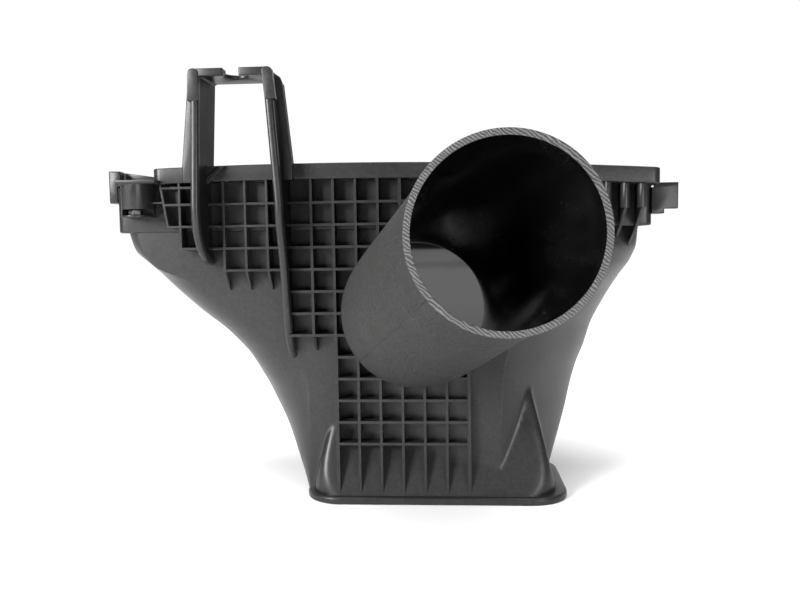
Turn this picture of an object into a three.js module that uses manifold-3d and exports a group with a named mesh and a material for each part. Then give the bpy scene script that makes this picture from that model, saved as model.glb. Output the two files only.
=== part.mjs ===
// Lower half of an engine air-intake box: an open-topped hopper that narrows to a duct foot, with a bent
// inlet pipe, waffle stiffening ribs, a two-legged grommet bracket and the lugs that hold the upper half.
// Millimetres, +Z up, +Y away from the pipe's mouth. Y = 0 is the front plane of the ribs and Z = 0 the
// underside of the foot; the whole group is moved at the end so that the origin is under the box's centre.

import * as THREE from 'three';
import { mergeVertices } from 'three/addons/utils/BufferGeometryUtils.js';
import Module from 'manifold-3d';

const wasm = await Module();
wasm.setup();

// ---------------------------------------------------------------- driving dimensions

const GAP = 0.3;              // clearance between touching pieces
const WALL = 3.0;             // moulded wall
const PITCH = 15.0;           // waffle rib spacing both ways
const RIB = 1.8;              // waffle rib thickness
const RIB_X0 = -58.6;         // rib column number 0
const RIB_Z0 = 206.0;         // rib row number 0, counted downwards

const HOPPER_TOP = 188.2;     // where the hopper meets the straight upper wall
const WALL_LOW = HOPPER_TOP + GAP;
const UPPER = { x0: -197, x1: 170.5, y0: 9.5, y1: 195, r: 6 };
const SET_BACK = { from: 100, to: 131, depth: 9.5 };  // the upper wall's front steps back at its right end
const RIM = { x0: -167, x1: 172.5, y0: -1, y1: 199, r: 6, width: 26, height: 10.6 };
const RIM_CROWN_X = -60;      // highest point of the gently crowned rim
const RIM_CROWN_Z = 232.2;
const RIM_CROWN = 1.38e-4;    // fall of the crown per square millimetre
const SEAL = { inset: 19, width: 5, depth: 3 };

const FOOT = { x0: -64, x1: 110.5, y0: -0.5, y1: 92, r: 22 };
const FLANGE = { lip: 4.2, height: 5, inner: 4 };
const SKIRT_TOP = 96;         // the foot's tapered skirt runs up inside the hopper to here
const SKIRT_TAPER = 0.27;     // each side leans in by this much per millimetre of height
const SKIRT_TAPER_FRONT = 0.318;
const SKIRT_TAPER_RIGHT = 0.24;
const SKIRT_STEP = 3.5;        // the skirt's right side stands in from the flange by this much
const SPLIT_Y = 62;           // joint plane between the front and rear shells

const PIPE_R = 50;
const PIPE_WALL = 3.5;
const PIPE_FROM = new THREE.Vector3(11.2, 20, 131.5);
const PIPE_TO = new THREE.Vector3(61.5, -145, 181.5);
const PIPE_STRAIGHT = 0.1;    // share of the pipe's length that leaves the wall squarely

const FRAME_X = [-131.2, -76];                           // planes of the bracket's two legs
const LEG = { front: -22, back: 18, top: 291.5, thick: 3.5, bead: 5.6 };
const LEG_LEAN = [0.05, -0.1];                            // sideways lean per millimetre above the rim
const BRIDGE = { thick: 2.6, lip: 4.9, slotX: -104.6, slot: 10.2, ringR: 8.2, ringY: -7 };

const BOSS = { x: -178.2, y: -1, r: 9.7, z0: 197.8, z1: 222.4 };
const END_RIBS_X = [138, 149.6, 160.5];
const END_RIB_FOOT = 199;     // the rounded noses stop here and thin gussets carry on down
const LUG_RIGHT_X = 188.6;

// ---------------------------------------------------------------- materials

const plastic = (hex, roughness) => new THREE.MeshStandardMaterial({ color: hex, roughness, metalness: 0 });
const BODY = plastic(0x2b2d2f, 0.42);
const TRIM = plastic(0x303234, 0.45);
const PIPE = plastic(0x353636, 0.62);
const RUBBER = plastic(0x161616, 0.85);
const STEEL = new THREE.MeshStandardMaterial({ color: 0x9a9c9e, roughness: 0.35, metalness: 1 });

// ---------------------------------------------------------------- solids and meshes

function toSolid(geometry) {
  const bare = geometry.clone();
  bare.deleteAttribute('normal');
  bare.deleteAttribute('uv');
  const merged = mergeVertices(bare, 1e-4);
  return new wasm.Manifold(new wasm.Mesh({
    numProp: 3,
    vertProperties: new Float32Array(merged.attributes.position.array),
    triVerts: new Uint32Array(merged.index.array),
  }));
}

function toGeometry(solid) {
  const mesh = solid.getMesh();
  const geometry = new THREE.BufferGeometry();
  geometry.setAttribute('position', new THREE.BufferAttribute(mesh.vertProperties, 3));
  geometry.setIndex(new THREE.BufferAttribute(mesh.triVerts, 1));
  geometry.computeVertexNormals();
  return geometry;
}

const model = new THREE.Group();

function add(name, solid, material) {
  const mesh = new THREE.Mesh(toGeometry(solid), material);
  mesh.name = name;
  model.add(mesh);
}

const union = (solids) => solids.reduce((whole, next) => whole.add(next));

function box(x0, x1, y0, y1, z0, z1) {
  const geometry = new THREE.BoxGeometry(x1 - x0, y1 - y0, z1 - z0);
  geometry.translate((x0 + x1) / 2, (y0 + y1) / 2, (z0 + z1) / 2);
  return toSolid(geometry);
}

// A closed skin over equal-length rings of points; the first and last rings are capped.
function loft(rings) {
  const count = rings[0].length;
  const points = rings.flat();
  const index = [];
  for (let k = 0; k + 1 < rings.length; k++) {
    for (let i = 0; i < count; i++) {
      const a = k * count + i;
      const b = k * count + (i + 1) % count;
      index.push(a, b, b + count, a, b + count, a + count);
    }
  }
  const last = (rings.length - 1) * count;
  for (let i = 1; i + 1 < count; i++) {
    index.push(0, i + 1, i, last, last + i, last + i + 1);
  }
  const geometry = new THREE.BufferGeometry().setFromPoints(points);
  geometry.setIndex(index);
  return toSolid(geometry);
}

// A frame between two outlines of equal length, with its underside and top given as functions of x.
function frame(outer, inner, low, high) {
  const rings = [
    outer.map((p) => new THREE.Vector3(p.x, p.y, low(p.x))),
    outer.map((p) => new THREE.Vector3(p.x, p.y, high(p.x))),
    inner.map((p) => new THREE.Vector3(p.x, p.y, high(p.x))),
    inner.map((p) => new THREE.Vector3(p.x, p.y, low(p.x))),
  ];
  const count = outer.length;
  const index = [];
  for (let k = 0; k < 4; k++) {
    for (let i = 0; i < count; i++) {
      const a = k * count + i;
      const b = k * count + (i + 1) % count;
      const c = ((k + 1) % 4) * count + (i + 1) % count;
      const d = ((k + 1) % 4) * count + i;
      index.push(a, b, c, a, c, d);
    }
  }
  const geometry = new THREE.BufferGeometry().setFromPoints(rings.flat());
  geometry.setIndex(index);
  return toSolid(geometry);
}

// Counter-clockwise rounded rectangle, with extra points along its long sides so that it can be crowned.
function roundedRect({ x0, x1, y0, y1, r }, inset = 0, arc = 6, side = 12) {
  const radius = Math.max(r - inset, 1.5);
  const corners = [
    { x: x1 - inset, y: y0 + inset, start: -90 },
    { x: x1 - inset, y: y1 - inset, start: 0 },
    { x: x0 + inset, y: y1 - inset, start: 90 },
    { x: x0 + inset, y: y0 + inset, start: 180 },
  ];
  const points = [];
  corners.forEach((corner, number) => {
    const inX = number < 2 ? -1 : 1;
    const inY = number === 0 || number === 3 ? 1 : -1;
    for (let i = 0; i <= arc; i++) {
      const angle = THREE.MathUtils.degToRad(corner.start + 90 * i / arc);
      points.push(new THREE.Vector2(
        corner.x + radius * (inX + Math.cos(angle)),
        corner.y + radius * (inY + Math.sin(angle)),
      ));
    }
    if (number % 2 === 1) {
      const from = points[points.length - 1];
      const to = number === 1 ? x0 + inset + radius : x1 - inset - radius;
      for (let i = 1; i < side; i++) {
        points.push(new THREE.Vector2(THREE.MathUtils.lerp(from.x, to, i / side), from.y));
      }
    }
  });
  return points;
}

// The upper wall's outline, whose front steps back gently towards its right end.
function upperOutline(inset = 0) {
  return roundedRect(UPPER, inset, 6, 24).map((p) => {
    const share = THREE.MathUtils.clamp((p.x - SET_BACK.from) / (SET_BACK.to - SET_BACK.from), 0, 1);
    return new THREE.Vector2(p.x, p.y < UPPER.y1 / 2 ? p.y + SET_BACK.depth * share : p.y);
  });
}

// A flat outline in the Y-Z plane, extruded along X between two planes.
function plateX(outline, x0, x1) {
  const shape = new THREE.Shape(outline.map(([y, z]) => new THREE.Vector2(y, z)));
  const geometry = new THREE.ExtrudeGeometry(shape, { depth: x1 - x0, bevelEnabled: false });
  geometry.applyMatrix4(new THREE.Matrix4().set(0, 0, 1, x0, 1, 0, 0, 0, 0, 1, 0, 0, 0, 0, 0, 1));
  return toSolid(geometry);
}

function cylinderY(x, z, radius, y0, y1, sides = 40) {
  const geometry = new THREE.CylinderGeometry(radius, radius, y1 - y0, sides);
  geometry.translate(x, (y0 + y1) / 2, z);
  return toSolid(geometry);
}

function cylinderZ(x, y, radius, z0, z1, sides = 28) {
  const geometry = new THREE.CylinderGeometry(radius, radius, z1 - z0, sides);
  geometry.rotateX(Math.PI / 2);
  geometry.translate(x, y, (z0 + z1) / 2);
  return toSolid(geometry);
}

// ---------------------------------------------------------------- hopper sections

// Each station is one level section of the hopper: where the flat front face ends, how far the side reaches,
// how deep the corner between them is and how round it is (1 = chamfer, 2 = ellipse), left then right.
// y and back are the front face at its left end and the rear wall. yaw turns the face, and rear is the rear
// corners' radius.
const station = (z, face, side, deep, round, y, back, yaw, rear) => (
  { z, face, side, deep, round, y, back, yaw, rear }
);
const STATIONS = [
  station(4, [-65.5, 66], [-71.5, 106], [26, 45], [1.6, 1.3], 15.6, 92, 0.079, 27),
  station(25, [-65.5, 67], [-80.5, 113], [34, 53], [1.5, 1.25], 15.6, 97, 0.079, 27),
  station(50, [-65.5, 68], [-91.5, 120.5], [40, 62], [1.4, 1.2], 15.6, 104, 0.079, 27),
  station(70, [-65.5, 69], [-100.5, 126.5], [40, 67], [1.4, 1.2], 15.5, 112, 0.079, 27),
  station(84, [-66.5, 70], [-106.5, 131.5], [36, 70], [1.5, 1.2], 15.4, 119, 0.079, 27),
  station(98, [-73, 72], [-113, 137.5], [30, 72], [1.8, 1.2], 15.0, 127, 0.07, 27),
  station(113, [-88, 77], [-125, 142], [24, 72], [2, 1.2], 14.2, 138, 0.055, 27),
  station(136, [-117, 91], [-149.5, 152], [21, 66], [2, 1.25], 12.6, 158, 0.03, 27),
  station(152, [-141, 103], [-165.5, 160], [17, 58], [2, 1.35], 11.2, 172, 0.01, 27),
  station(164, [-171, 106], [-178, 166.5], [14, 50], [2, 1.45], 10.3, 183, 0, 26),
  station(175, [-179, 105], [-189, 169], [14, 42], [2, 1.5], 9.8, 190, 0, 18),
  station(HOPPER_TOP, [-184, 104], [-194, 169.5], [14, 40], [2, 1.5], 9.6, 194.5, 0, 8),
];
const CORNER_STEPS = 7;

// One corner of a section, from the face (0) to the side (1), as a superellipse.
function cornerPoint(step, power) {
  const angle = (step / CORNER_STEPS) * Math.PI / 2;
  return [Math.sin(angle) ** (2 / power), 1 - Math.cos(angle) ** (2 / power)];
}

function sectionRing(s, inset) {
  const [sideL, sideR] = [s.side[0] + inset, s.side[1] - inset];
  const [faceL, faceR] = s.face;
  const front = s.y + inset;
  const back = s.back - inset;
  const rear = s.rear;
  const ring = [];
  const corner = (face, side, deep, power, step) => {
    const [u, v] = cornerPoint(step, power);
    const x = THREE.MathUtils.lerp(face, side, u);
    const faceY = front - s.yaw * (x - faceL);
    ring.push(new THREE.Vector3(x, THREE.MathUtils.lerp(faceY, front + deep, v), s.z));
  };
  for (let i = CORNER_STEPS; i >= 0; i--) corner(faceL, sideL, s.deep[0], s.round[0], i);
  for (let i = 0; i <= CORNER_STEPS; i++) corner(faceR, sideR, s.deep[1], s.round[1], i);
  const arc = (x, start) => {
    for (let i = 0; i <= CORNER_STEPS; i++) {
      const angle = THREE.MathUtils.degToRad(start + 90 * i / CORNER_STEPS);
      ring.push(new THREE.Vector3(x + rear * Math.cos(angle), back - rear + rear * Math.sin(angle), s.z));
    }
  };
  arc(sideR - rear, 0);
  arc(sideL + rear, 90);
  return ring;
}

// The hopper's outer form when inset is 0; a positive inset gives the hollow and a negative one a cutter.
function hopper(inset, low = 0, high = 0) {
  const rings = STATIONS.map((s) => sectionRing(s, inset));
  rings[0].forEach((p) => { p.z -= low; });
  rings[rings.length - 1].forEach((p) => { p.z += high; });
  return loft(rings);
}

// The foot's tapered skirt: a rounded rectangle that leans in on all sides as it rises.
function skirt(inset, low = 0) {
  const at = (z, grow) => {
    const rise = z - FLANGE.height;
    const plan = {
      x0: FOOT.x0 + SKIRT_TAPER * rise,
      x1: FOOT.x1 - SKIRT_STEP - SKIRT_TAPER_RIGHT * rise,
      y0: FOOT.y0 + SKIRT_TAPER_FRONT * rise,
      y1: FOOT.y1 - SKIRT_TAPER * 0.3 * rise,
      r: FOOT.r * (1 - 0.75 * rise / SKIRT_TOP),
    };
    return roundedRect(plan, grow, 6, 2).map((p) => new THREE.Vector3(p.x, p.y, z));
  };
  const bottom = at(FLANGE.height + GAP, inset);
  bottom.forEach((p) => { p.z -= low; });
  return loft([bottom, at(40, inset), at(SKIRT_TOP, inset)]);
}

const bodyForm = (grow) => hopper(-grow, grow, grow).add(skirt(-grow, grow));
const crown = (x) => -RIM_CROWN * (x - RIM_CROWN_X) ** 2;
const rimTop = (x) => RIM_CROWN_Z + crown(x);
const rimLow = (x) => rimTop(x) - RIM.height;
const column = (k) => RIB_X0 + k * PITCH;
const row = (j) => RIB_Z0 - j * PITCH;

// ---------------------------------------------------------------- shells, rim and foot

function makeShells() {
  const base = box(-400, 400, -400, 400, -50, FLANGE.height + GAP);
  const hollow = hopper(WALL, 5, 5).add(skirt(WALL, 5));
  const pipeHole = cylinderY(PIPE_FROM.x, PIPE_FROM.z, PIPE_R + 2 * GAP, -60, SPLIT_Y - 8, 48);
  const shell = bodyForm(0).subtract(hollow).subtract(pipeHole).subtract(base);
  add('front_shell', shell.subtract(box(-400, 400, SPLIT_Y, 400, -50, 400)), BODY);
  add('rear_shell', shell.subtract(box(-400, 400, -400, SPLIT_Y + GAP, -50, 400)), BODY);
}

function makeUpperWall() {
  const wall = frame(upperOutline(), upperOutline(WALL), () => WALL_LOW, (x) => rimLow(x) - GAP);
  add('upper_wall', wall, BODY);
}

function makeRim() {
  const body = frame(roundedRect(RIM), roundedRect(RIM, RIM.width), rimLow, rimTop);
  const groove = (grow) => frame(
    roundedRect(RIM, SEAL.inset - grow),
    roundedRect(RIM, SEAL.inset + SEAL.width + grow),
    (x) => rimTop(x) - SEAL.depth - grow,
    (x) => rimTop(x) + (grow > 0 ? 5 : -0.5),
  );
  add('rim_frame', body.subtract(groove(GAP)), BODY);
  add('rim_seal', groove(0), RUBBER);
}

function makeFoot() {
  const plan = (inset) => roundedRect(FOOT, inset, 8, 2);
  const flat = (z) => () => z;
  const lip = frame(plan(-FLANGE.lip), plan(FLANGE.inner), flat(1.2), flat(FLANGE.height - 1));
  const core = frame(plan(-FLANGE.lip + 1.2), plan(FLANGE.inner), flat(0), flat(FLANGE.height));
  const groove = frame(plan(-2.2), plan(1.2), flat(-5), flat(2));
  add('foot_flange', lip.add(core).subtract(groove), BODY);
  add('foot_seal', frame(plan(-2.2 + GAP), plan(1.2 - GAP), flat(0), flat(2 - GAP)), RUBBER);
}

// ---------------------------------------------------------------- inlet pipe

// The pipe leaves the wall squarely, swings up and across, and its mouth faces square to the front again.
class PipePath extends THREE.Curve {
  getPoint(t, target = new THREE.Vector3()) {
    const v = THREE.MathUtils.clamp((t - PIPE_STRAIGHT) / (1 - PIPE_STRAIGHT), 0, 1);
    const swing = v * v * (3 - 2 * v);
    return target.set(
      THREE.MathUtils.lerp(PIPE_FROM.x, PIPE_TO.x, swing),
      THREE.MathUtils.lerp(PIPE_FROM.y, PIPE_TO.y, t),
      THREE.MathUtils.lerp(PIPE_FROM.z, PIPE_TO.z, swing),
    );
  }
}

function pipeRings(radius, extra = 0) {
  const path = new PipePath();
  const steps = 12;
  const rings = [];
  for (let k = 0; k <= steps; k++) {
    const centre = path.getPoint(k / steps);
    if (k === 0) centre.y += extra;
    if (k === steps) centre.y -= extra;
    const tangent = k === 0 || k === steps ? new THREE.Vector3(0, -1, 0) : path.getTangent(k / steps);
    const turn = new THREE.Quaternion().setFromUnitVectors(new THREE.Vector3(0, -1, 0), tangent);
    const ring = [];
    for (let i = 0; i < 44; i++) {
      const angle = 2 * Math.PI * i / 44;
      const arm = new THREE.Vector3(radius * Math.cos(angle), 0, -radius * Math.sin(angle));
      ring.push(arm.applyQuaternion(turn).add(centre));
    }
    rings.push(ring.reverse());
  }
  return rings;
}

function makePipe() {
  add('inlet_pipe', loft(pipeRings(PIPE_R)).subtract(loft(pipeRings(PIPE_R - PIPE_WALL, 2))), PIPE);
  const { x, y, z } = PIPE_FROM;
  const flangeRing = cylinderY(x, z, PIPE_R + 5, y + GAP, y + 3.5, 48);
  add('pipe_retainer', flangeRing.subtract(cylinderY(x, z, PIPE_R - PIPE_WALL, y - 5, y + 9, 48)), TRIM);
}

// ---------------------------------------------------------------- waffle ribs

const ribUp = (k, z0, z1, thick = RIB) => box(column(k) - thick / 2, column(k) + thick / 2, 0, 30, z0, z1);
const ribAcross = (j, x0, x1) => box(x0, x1, 0, 30, row(j) - RIB / 2, row(j) + RIB / 2);

// A rib that fades into the wall below its last crossing.
const ribTail = (k, zTop, zEnd) => plateX(
  [[0, zTop], [30, zTop], [30, zEnd], [13, zEnd]],
  column(k) - RIB / 2,
  column(k) + RIB / 2,
);

// Everything that the ribs stop short of: hopper, upper wall, pipe and rim, each grown by the gap.
function ribClearance() {
  const wall = upperOutline(-GAP);
  return bodyForm(GAP)
    .add(loft([WALL_LOW - 1, 240].map((z) => wall.map((p) => new THREE.Vector3(p.x, p.y, z)))))
    .add(cylinderY(PIPE_FROM.x, PIPE_FROM.z, PIPE_R + GAP, -60, 60, 48))
    .add(frame(
      roundedRect(RIM, -1), roundedRect(RIM, RIM.width + 20),
      (x) => rimLow(x) - GAP, (x) => rimTop(x) + 9,
    ));
}

function makeWaffles(clear) {
  const half = LEG.thick / 2 + GAP;
  const [leftLeg, rightLeg] = FRAME_X;

  const slanted = toSolid(new THREE.BoxGeometry(RIB, 30, 34).rotateY(-0.155).translate(-159.5, 15, 205));
  const end = union([
    slanted,
    ribUp(-6, row(2) - RIB / 2, 225),
    ribAcross(0, -160.2, leftLeg - half),
    ribAcross(1, -157.6, leftLeg - half),
    ribAcross(2, column(-6) - RIB / 2, leftLeg - half),
  ]);
  const left = union([
    ...[-4, -3, -2].map((k) => ribUp(k, row(3) - RIB / 2, 225)),
    ...[-4, -3, -2].map((k) => ribTail(k, row(3), row(3) - 14)),
    ...[0, 1, 2].map((j) => ribAcross(j, leftLeg + half, rightLeg - half)),
    ribAcross(3, column(-4) - RIB / 2, rightLeg - half),
  ]);
  const mid = union([
    ...[0, 1, 2, 3, 4, 5, 6, 7].map((k) => ribUp(k, row(k < 2 ? 6 : 1) - RIB / 2, 225)),
    ribTail(0, row(6), row(6) - 12),
    ...[0, 1].map((j) => ribAcross(j, rightLeg + half, column(7) + RIB / 2)),
    ...[2, 3, 4, 5, 6].map((j) => ribAcross(j, rightLeg + half, PIPE_FROM.x)),
    ...[2, 3].map((k) => ribUp(k, PIPE_FROM.z, row(1))),
  ]).subtract(box(PIPE_FROM.x - 30, 200, -5, 60, -5, PIPE_FROM.z + 20));
  const lowTop = row(6) - RIB / 2 - GAP;
  const low = union([
    ...[1, 2, 3, 4, 5, 6, 7].map((k) => ribUp(k, 0, lowTop, k === 1 || k === 7 ? 2.4 : RIB)),
    ...[7, 8, 9, 10, 11].map((j) => ribAcross(j, column(1), column(7))),
  ]).subtract(box(-100, 100, -5, 60, -5, FLANGE.height + 3 * GAP));

  add('waffle_end', end.subtract(clear), BODY);
  add('waffle_left', left.subtract(clear), BODY);
  add('waffle_mid', mid.subtract(clear), BODY);
  add('waffle_low', low.subtract(clear), BODY);
}

// ---------------------------------------------------------------- grommet bracket

// Sideways lean of the legs above the rim: every vertex moves in x by its height over the rim.
function lean(solid, perMillimetre) {
  return solid.warp((p) => { p[0] += perMillimetre * Math.max(0, p[2] - RIM_CROWN_Z); });
}

function makeLeg(name, side, finLow, flangeReach) {
  const x = FRAME_X[side];
  const top = rimTop(x) + 2 * GAP;
  const front = RIM.y0 - 2 * GAP;
  const finBack = UPPER.y0 - 2 * GAP;
  const under = rimLow(x) - 2 * GAP;
  const web = plateX([
    [LEG.front, LEG.top], [LEG.front, RIM_CROWN_Z], [LEG.front, 197], ...finLow, [finBack, under],
    [front, under], [front, top], [LEG.back, top], [LEG.back, LEG.top],
  ], x - LEG.thick / 2, x + LEG.thick / 2);
  const bead = box(x - LEG.bead / 2, x + LEG.bead / 2, LEG.front, LEG.front + 3, 197, LEG.top);
  const outward = side === 0 ? -1 : 1;
  const reach = [x, x + outward * flangeReach].sort((a, b) => a - b);
  const flange = box(reach[0], reach[1], front - 2.7, front, under, LEG.top);
  const leg = union([web, bead, flange]);
  add(name, lean(leg, LEG_LEAN[side]), BODY);
}

function makeBracket() {
  makeLeg('bracket_leg_left', 0, [[-19, 184], [-10, 172], [2, 166], [8.9, 165]], 12);
  makeLeg('bracket_leg_right', 1, [[-11, 165], [-3, 124], [8.9, 102]], 6.4);

  const rise = LEG.top - RIM_CROWN_Z;
  const half = LEG.thick / 2 + GAP;
  const x0 = FRAME_X[0] + LEG_LEAN[0] * rise + half;
  const x1 = FRAME_X[1] + LEG_LEAN[1] * rise - half;
  const low = LEG.top - BRIDGE.thick;
  const plate = box(x0, x1, LEG.front, LEG.back, low, LEG.top)
    .add(box(x0, x1, LEG.front, LEG.front + 3, LEG.top - BRIDGE.lip, LEG.top));
  const slotHalf = BRIDGE.slot / 2;
  const slot = box(BRIDGE.slotX - slotHalf, BRIDGE.slotX + slotHalf, -40, BRIDGE.ringY, low - 5, 320);
  const ring = cylinderZ(BRIDGE.slotX, BRIDGE.ringY, BRIDGE.ringR, low - 5, 320);
  const notch = (LEG.bead - LEG.thick) / 2 + GAP;
  const notches = box(x0 - 5, x0 + notch, -40, LEG.front + 3 + GAP, low - 5, 320)
    .add(box(x1 - notch, x1 + 5, -40, LEG.front + 3 + GAP, low - 5, 320));
  add('bracket_bridge', plate.subtract(slot).subtract(ring).subtract(notches), BODY);

  const braceX = FRAME_X[0] + half;
  const brace = new THREE.Shape([
    new THREE.Vector2(braceX, rimLow(braceX) + 1), new THREE.Vector2(braceX + 10.5, rimTop(braceX) - 1),
    new THREE.Vector2(braceX + 14, rimTop(braceX) - 1), new THREE.Vector2(braceX + 2, rimLow(braceX) - 1.5),
    new THREE.Vector2(braceX, rimLow(braceX) - 1.5),
  ]);
  const braceSolid = new THREE.ExtrudeGeometry(brace, { depth: 3, bevelEnabled: false });
  braceSolid.rotateX(Math.PI / 2).translate(0, RIM.y0 - GAP, 0);
  add('bracket_brace', toSolid(braceSolid), BODY);
}

// ---------------------------------------------------------------- end fittings

// The upright rail on the shelf, whose top edge falls towards the rim.
function railSolid(x0, x1, low) {
  const outline = [[x0, low], [x1, low], [x1, 226.2], [x0, 230.4]];
  const shape = new THREE.Shape(outline.map(([x, z]) => new THREE.Vector2(x, z)));
  const geometry = new THREE.ExtrudeGeometry(shape, { depth: 2.6, bevelEnabled: false });
  return toSolid(geometry.rotateX(Math.PI / 2).translate(0, 26, 0));
}

function makeLeftEnd() {
  const wallY = UPPER.y0 - GAP;
  const round = cylinderZ(BOSS.x, BOSS.y, BOSS.r, BOSS.z0, BOSS.z1 - 2.4);
  const back = box(BOSS.x - BOSS.r, BOSS.x + BOSS.r, BOSS.y, wallY, BOSS.z0, BOSS.z1 - 2.4);
  const cap = box(BOSS.x - BOSS.r, RIM.x0 + 6, BOSS.y - BOSS.r - 0.6, RIM.y0 - GAP, BOSS.z1 - 2.4, BOSS.z1)
    .add(box(BOSS.x - BOSS.r, RIM.x0 - GAP, BOSS.y - BOSS.r, wallY, BOSS.z1 - 2.4, BOSS.z1));
  const slot = box(BOSS.x - 7, BOSS.x + 20, BOSS.y - 30, BOSS.y + 5, BOSS.z0 + 1.4, BOSS.z0 + 5.4);
  const bore = cylinderZ(BOSS.x, BOSS.y, 3.4, BOSS.z0 + 3, BOSS.z1 + 5);
  add('screw_boss', union([round, back, cap]).subtract(slot).subtract(bore), BODY);

  const nut = new THREE.CylinderGeometry(5, 5, 3.2, 6).rotateX(Math.PI / 2);
  nut.translate(BOSS.x, BOSS.y - 1, BOSS.z0 + 3.4);
  add('boss_nut', toSolid(nut).subtract(cylinderZ(BOSS.x, BOSS.y - 1, 2.5, 150, 250, 16)), STEEL);

  const shelfLow = rimLow(RIM.x0);
  const shelfTop = shelfLow + 2.4;
  const shelf = box(UPPER.x0 + GAP, RIM.x0 - GAP, wallY + GAP, UPPER.y1 - GAP, shelfLow, shelfTop);
  const rail = railSolid(UPPER.x0 + 2, RIM.x0 - GAP, shelfLow);
  add('left_shelf', shelf.add(rail), BODY);
  const clip = box(UPPER.x0 - 6.6, UPPER.x0 - GAP, 14, 46, 208.5, 231);
  const hook = box(UPPER.x0 - 6.6, UPPER.x0 + 2 - GAP, 14, 22, shelfTop + GAP, 231);
  add('clip_lug_left', clip.add(hook), BODY);
}

function makeRightEnd(clear) {
  const x = UPPER.x1 + GAP;
  const plate = box(x, LUG_RIGHT_X, 18, 23, 198.5, 213.2);
  const tip = box(RIM.x1 + 2 * GAP, LUG_RIGHT_X, 18, 23, 213, 216.2);
  const web = box(x, LUG_RIGHT_X - 9.2, 18, 34, 195.3, 213.2);
  add('lug_right', union([plate, tip, web]), BODY);

  END_RIBS_X.forEach((ribX, i) => {
    const outline = [[0, 225], [50, 225], [50, 167], [15.5, 187], [0, END_RIB_FOOT]];
    const gusset = plateX(outline, ribX - 0.9, ribX + 0.9);
    const nose = cylinderZ(ribX, 2.9, 2.9, END_RIB_FOOT, 225, 16);
    add(`end_rib_${i + 1}`, gusset.add(nose).subtract(clear), BODY);
  });
}

// ---------------------------------------------------------------- assembly

makeShells();
makeUpperWall();
makeRim();
makeFoot();
makePipe();
const clear = ribClearance();
makeWaffles(clear);
makeBracket();
makeLeftEnd();
makeRightEnd(clear);

// The origin goes under the centre of the whole part's box.
const bounds = new THREE.Box3().setFromObject(model);
const centre = bounds.getCenter(new THREE.Vector3());
model.position.set(-centre.x, -centre.y, -bounds.min.z);

export default model;
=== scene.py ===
import math

import bmesh
import bpy
import numpy as np
from mathutils import Matrix, Vector


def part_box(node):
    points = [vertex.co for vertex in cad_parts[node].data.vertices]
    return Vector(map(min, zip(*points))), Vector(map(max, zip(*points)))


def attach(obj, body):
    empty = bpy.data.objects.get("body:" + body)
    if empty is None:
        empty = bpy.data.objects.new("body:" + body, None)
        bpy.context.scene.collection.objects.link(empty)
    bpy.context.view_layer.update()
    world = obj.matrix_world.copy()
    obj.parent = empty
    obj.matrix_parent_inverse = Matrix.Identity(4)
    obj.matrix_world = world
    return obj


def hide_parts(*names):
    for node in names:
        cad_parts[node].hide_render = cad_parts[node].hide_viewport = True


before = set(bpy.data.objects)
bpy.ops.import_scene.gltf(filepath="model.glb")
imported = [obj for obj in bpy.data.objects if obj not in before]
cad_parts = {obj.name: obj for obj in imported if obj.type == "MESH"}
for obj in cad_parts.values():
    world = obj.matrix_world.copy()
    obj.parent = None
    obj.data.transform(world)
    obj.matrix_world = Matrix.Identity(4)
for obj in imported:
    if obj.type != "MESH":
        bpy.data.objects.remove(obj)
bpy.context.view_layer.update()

# ---------------------------------------------------------------- driving dimensions
# Millimetres in the design frame: X right, Y away from the pipe's mouth, Z up from the foot's underside.

# The walls' thickness, and how far touching forms run into each other.
WALL = 3.0
OVERLAP = 0.2

# Waffle ribs: columns count from RIB_X0 to the right, rows from RIB_Z0 down. A tail is the lower end of an
# upright, which falls back to the wall.
PITCH = 15.0
RIB = 1.8
RIB_X0 = -58.6
RIB_Z0 = 206.0
RIB_TOP = 223.0
RIB_FRONT = 0.0
RIB_SINK = 1.4
RIB_EDGE = 0.42
EDGE_RIB = 2.4
UNDER_RIM = 217.4
TAIL_LEFT = {"length": 14, "front": 10.6}
TAIL_MID = {"length": 12, "front": 13.2}
SLANT = {"x": -159.5, "lean": 0.155, "bar_z": 207.6, "bar_x": -169.5, "bar": 1.4}

# Upper wall, rim and filter seal. A plan holds its two corners and its corner radius.
HOPPER_TOP = 188.2
UPPER = {"x0": -197, "x1": 172.2, "y0": 9.5, "y1": 195, "r": 6}
SET_BACK = {"from": 100, "to": 131, "depth": 9.5}
RIM = {"x0": -167, "x1": 172.5, "y0": -1, "y1": 199, "r": 6}
RIM_WIDTH = 26
RIM_HEIGHT = 10.6
RIM_CROWN_X = -60
RIM_CROWN_Z = 232.2
RIM_CROWN = 1.38e-4
SEAL = {"inset": 19, "width": 5, "depth": 3, "gap": 0.3, "below": 0.5}

# The foot's flange, and the skirt that tapers up from it into the hopper.
FOOT = {"x0": -64, "x1": 110.5, "y0": -0.5, "y1": 92, "r": 22}
FLANGE_LIP = 4.2
FLANGE_HEIGHT = 5
FLANGE_INNER = 4
FOOT_SEAL = {"outer": -1.9, "inner": 0.9, "height": 1.7, "gap": 0.3}
SKIRT_TOP = 96
SKIRT_TAPER = 0.27
SKIRT_TAPER_FRONT = 0.318
SKIRT_TAPER_RIGHT = 0.24
SKIRT_TAPER_BACK = 0.081
SKIRT_STEP = 3.5
SKIRT_R_TOP = 4
SKIRT_R_FADE = 12
SKIRT_BLEND = 1.6
SKIRT_CENTRE = np.array([22.0, 48.0])
SPLIT_Y = 62

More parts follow.
